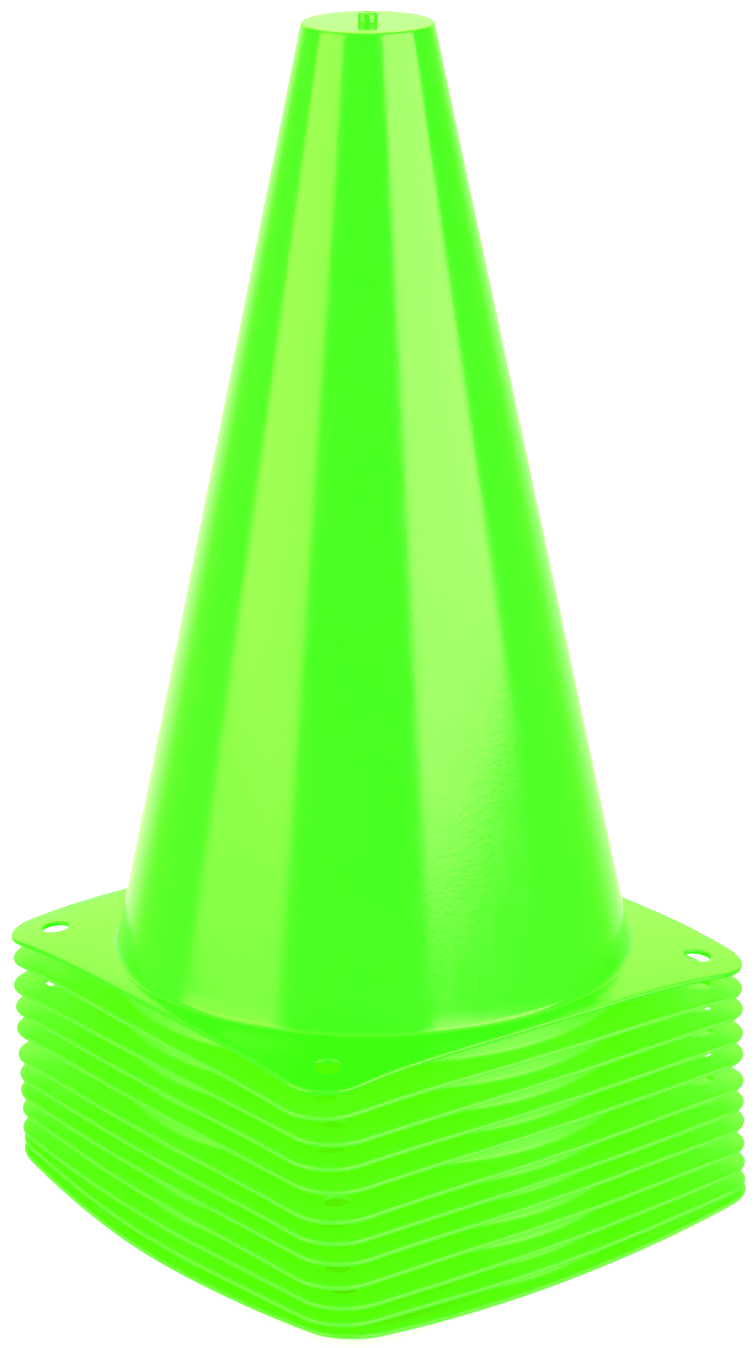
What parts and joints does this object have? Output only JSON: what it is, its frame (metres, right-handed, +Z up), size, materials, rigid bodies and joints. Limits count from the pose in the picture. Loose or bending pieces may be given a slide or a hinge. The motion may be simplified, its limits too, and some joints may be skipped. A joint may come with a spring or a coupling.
{
  "type": "stack of training cones",
  "caption": "Nested stack of small plastic training cones, each a hollow tapered marker on a square foot flange with a peg hole at every corner, free to lift off one by one.",
  "frame": {"origin": "on the floor, at the bottom centre of the stack's box, within 3 mm of every cone's axis", "axes": "+Z up along the cones' axis; X and Y along the sides of the square flanges"},
  "size_m": [0.1414, 0.1404, 0.3014],
  "materials": {
    "cone_plastic": "satin gloss, fluorescent green, slightly translucent moulded polyethylene"
  },
  "bodies": {
    "cone_01": {"cone_01": "cone_plastic"},
    "cone_02": {"cone_02": "cone_plastic"},
    "cone_03": {"cone_03": "cone_plastic"},
    "cone_04": {"cone_04": "cone_plastic"},
    "cone_05": {"cone_05": "cone_plastic"},
    "cone_06": {"cone_06": "cone_plastic"},
    "cone_07": {"cone_07": "cone_plastic"},
    "cone_08": {"cone_08": "cone_plastic"},
    "cone_09": {"cone_09": "cone_plastic"},
    "cone_10": {"cone_10": "cone_plastic"},
    "cone_11": {"cone_11": "cone_plastic"},
    "cone_12": {"cone_12": "cone_plastic"}
  },
  "joints": [
    {"name": "cone_02_lift", "type": "slide", "parent": "cone_01", "child": "cone_02", "axis": [0, 0, 1], "range_m": [0, 0.235]},
    {"name": "cone_03_lift", "type": "slide", "parent": "cone_02", "child": "cone_03", "axis": [0, 0, 1], "range_m": [0, 0.235]},
    {"name": "cone_04_lift", "type": "slide", "parent": "cone_03", "child": "cone_04", "axis": [0, 0, 1], "range_m": [0, 0.235]},
    {"name": "cone_05_lift", "type": "slide", "parent": "cone_04", "child": "cone_05", "axis": [0, 0, 1], "range_m": [0, 0.235]},
    {"name": "cone_06_lift", "type": "slide", "parent": "cone_05", "child": "cone_06", "axis": [0, 0, 1], "range_m": [0, 0.235]},
    {"name": "cone_07_lift", "type": "slide", "parent": "cone_06", "child": "cone_07", "axis": [0, 0, 1], "range_m": [0, 0.235]},
    {"name": "cone_08_lift", "type": "slide", "parent": "cone_07", "child": "cone_08", "axis": [0, 0, 1], "range_m": [0, 0.235]},
    {"name": "cone_09_lift", "type": "slide", "parent": "cone_08", "child": "cone_09", "axis": [0, 0, 1], "range_m": [0, 0.235]},
    {"name": "cone_10_lift", "type": "slide", "parent": "cone_09", "child": "cone_10", "axis": [0, 0, 1], "range_m": [0, 0.235]},
    {"name": "cone_11_lift", "type": "slide", "parent": "cone_10", "child": "cone_11", "axis": [0, 0, 1], "range_m": [0, 0.235]},
    {"name": "cone_12_lift", "type": "slide", "parent": "cone_11", "child": "cone_12", "axis": [0, 0, 1], "range_m": [0, 0.235]}
  ]
}
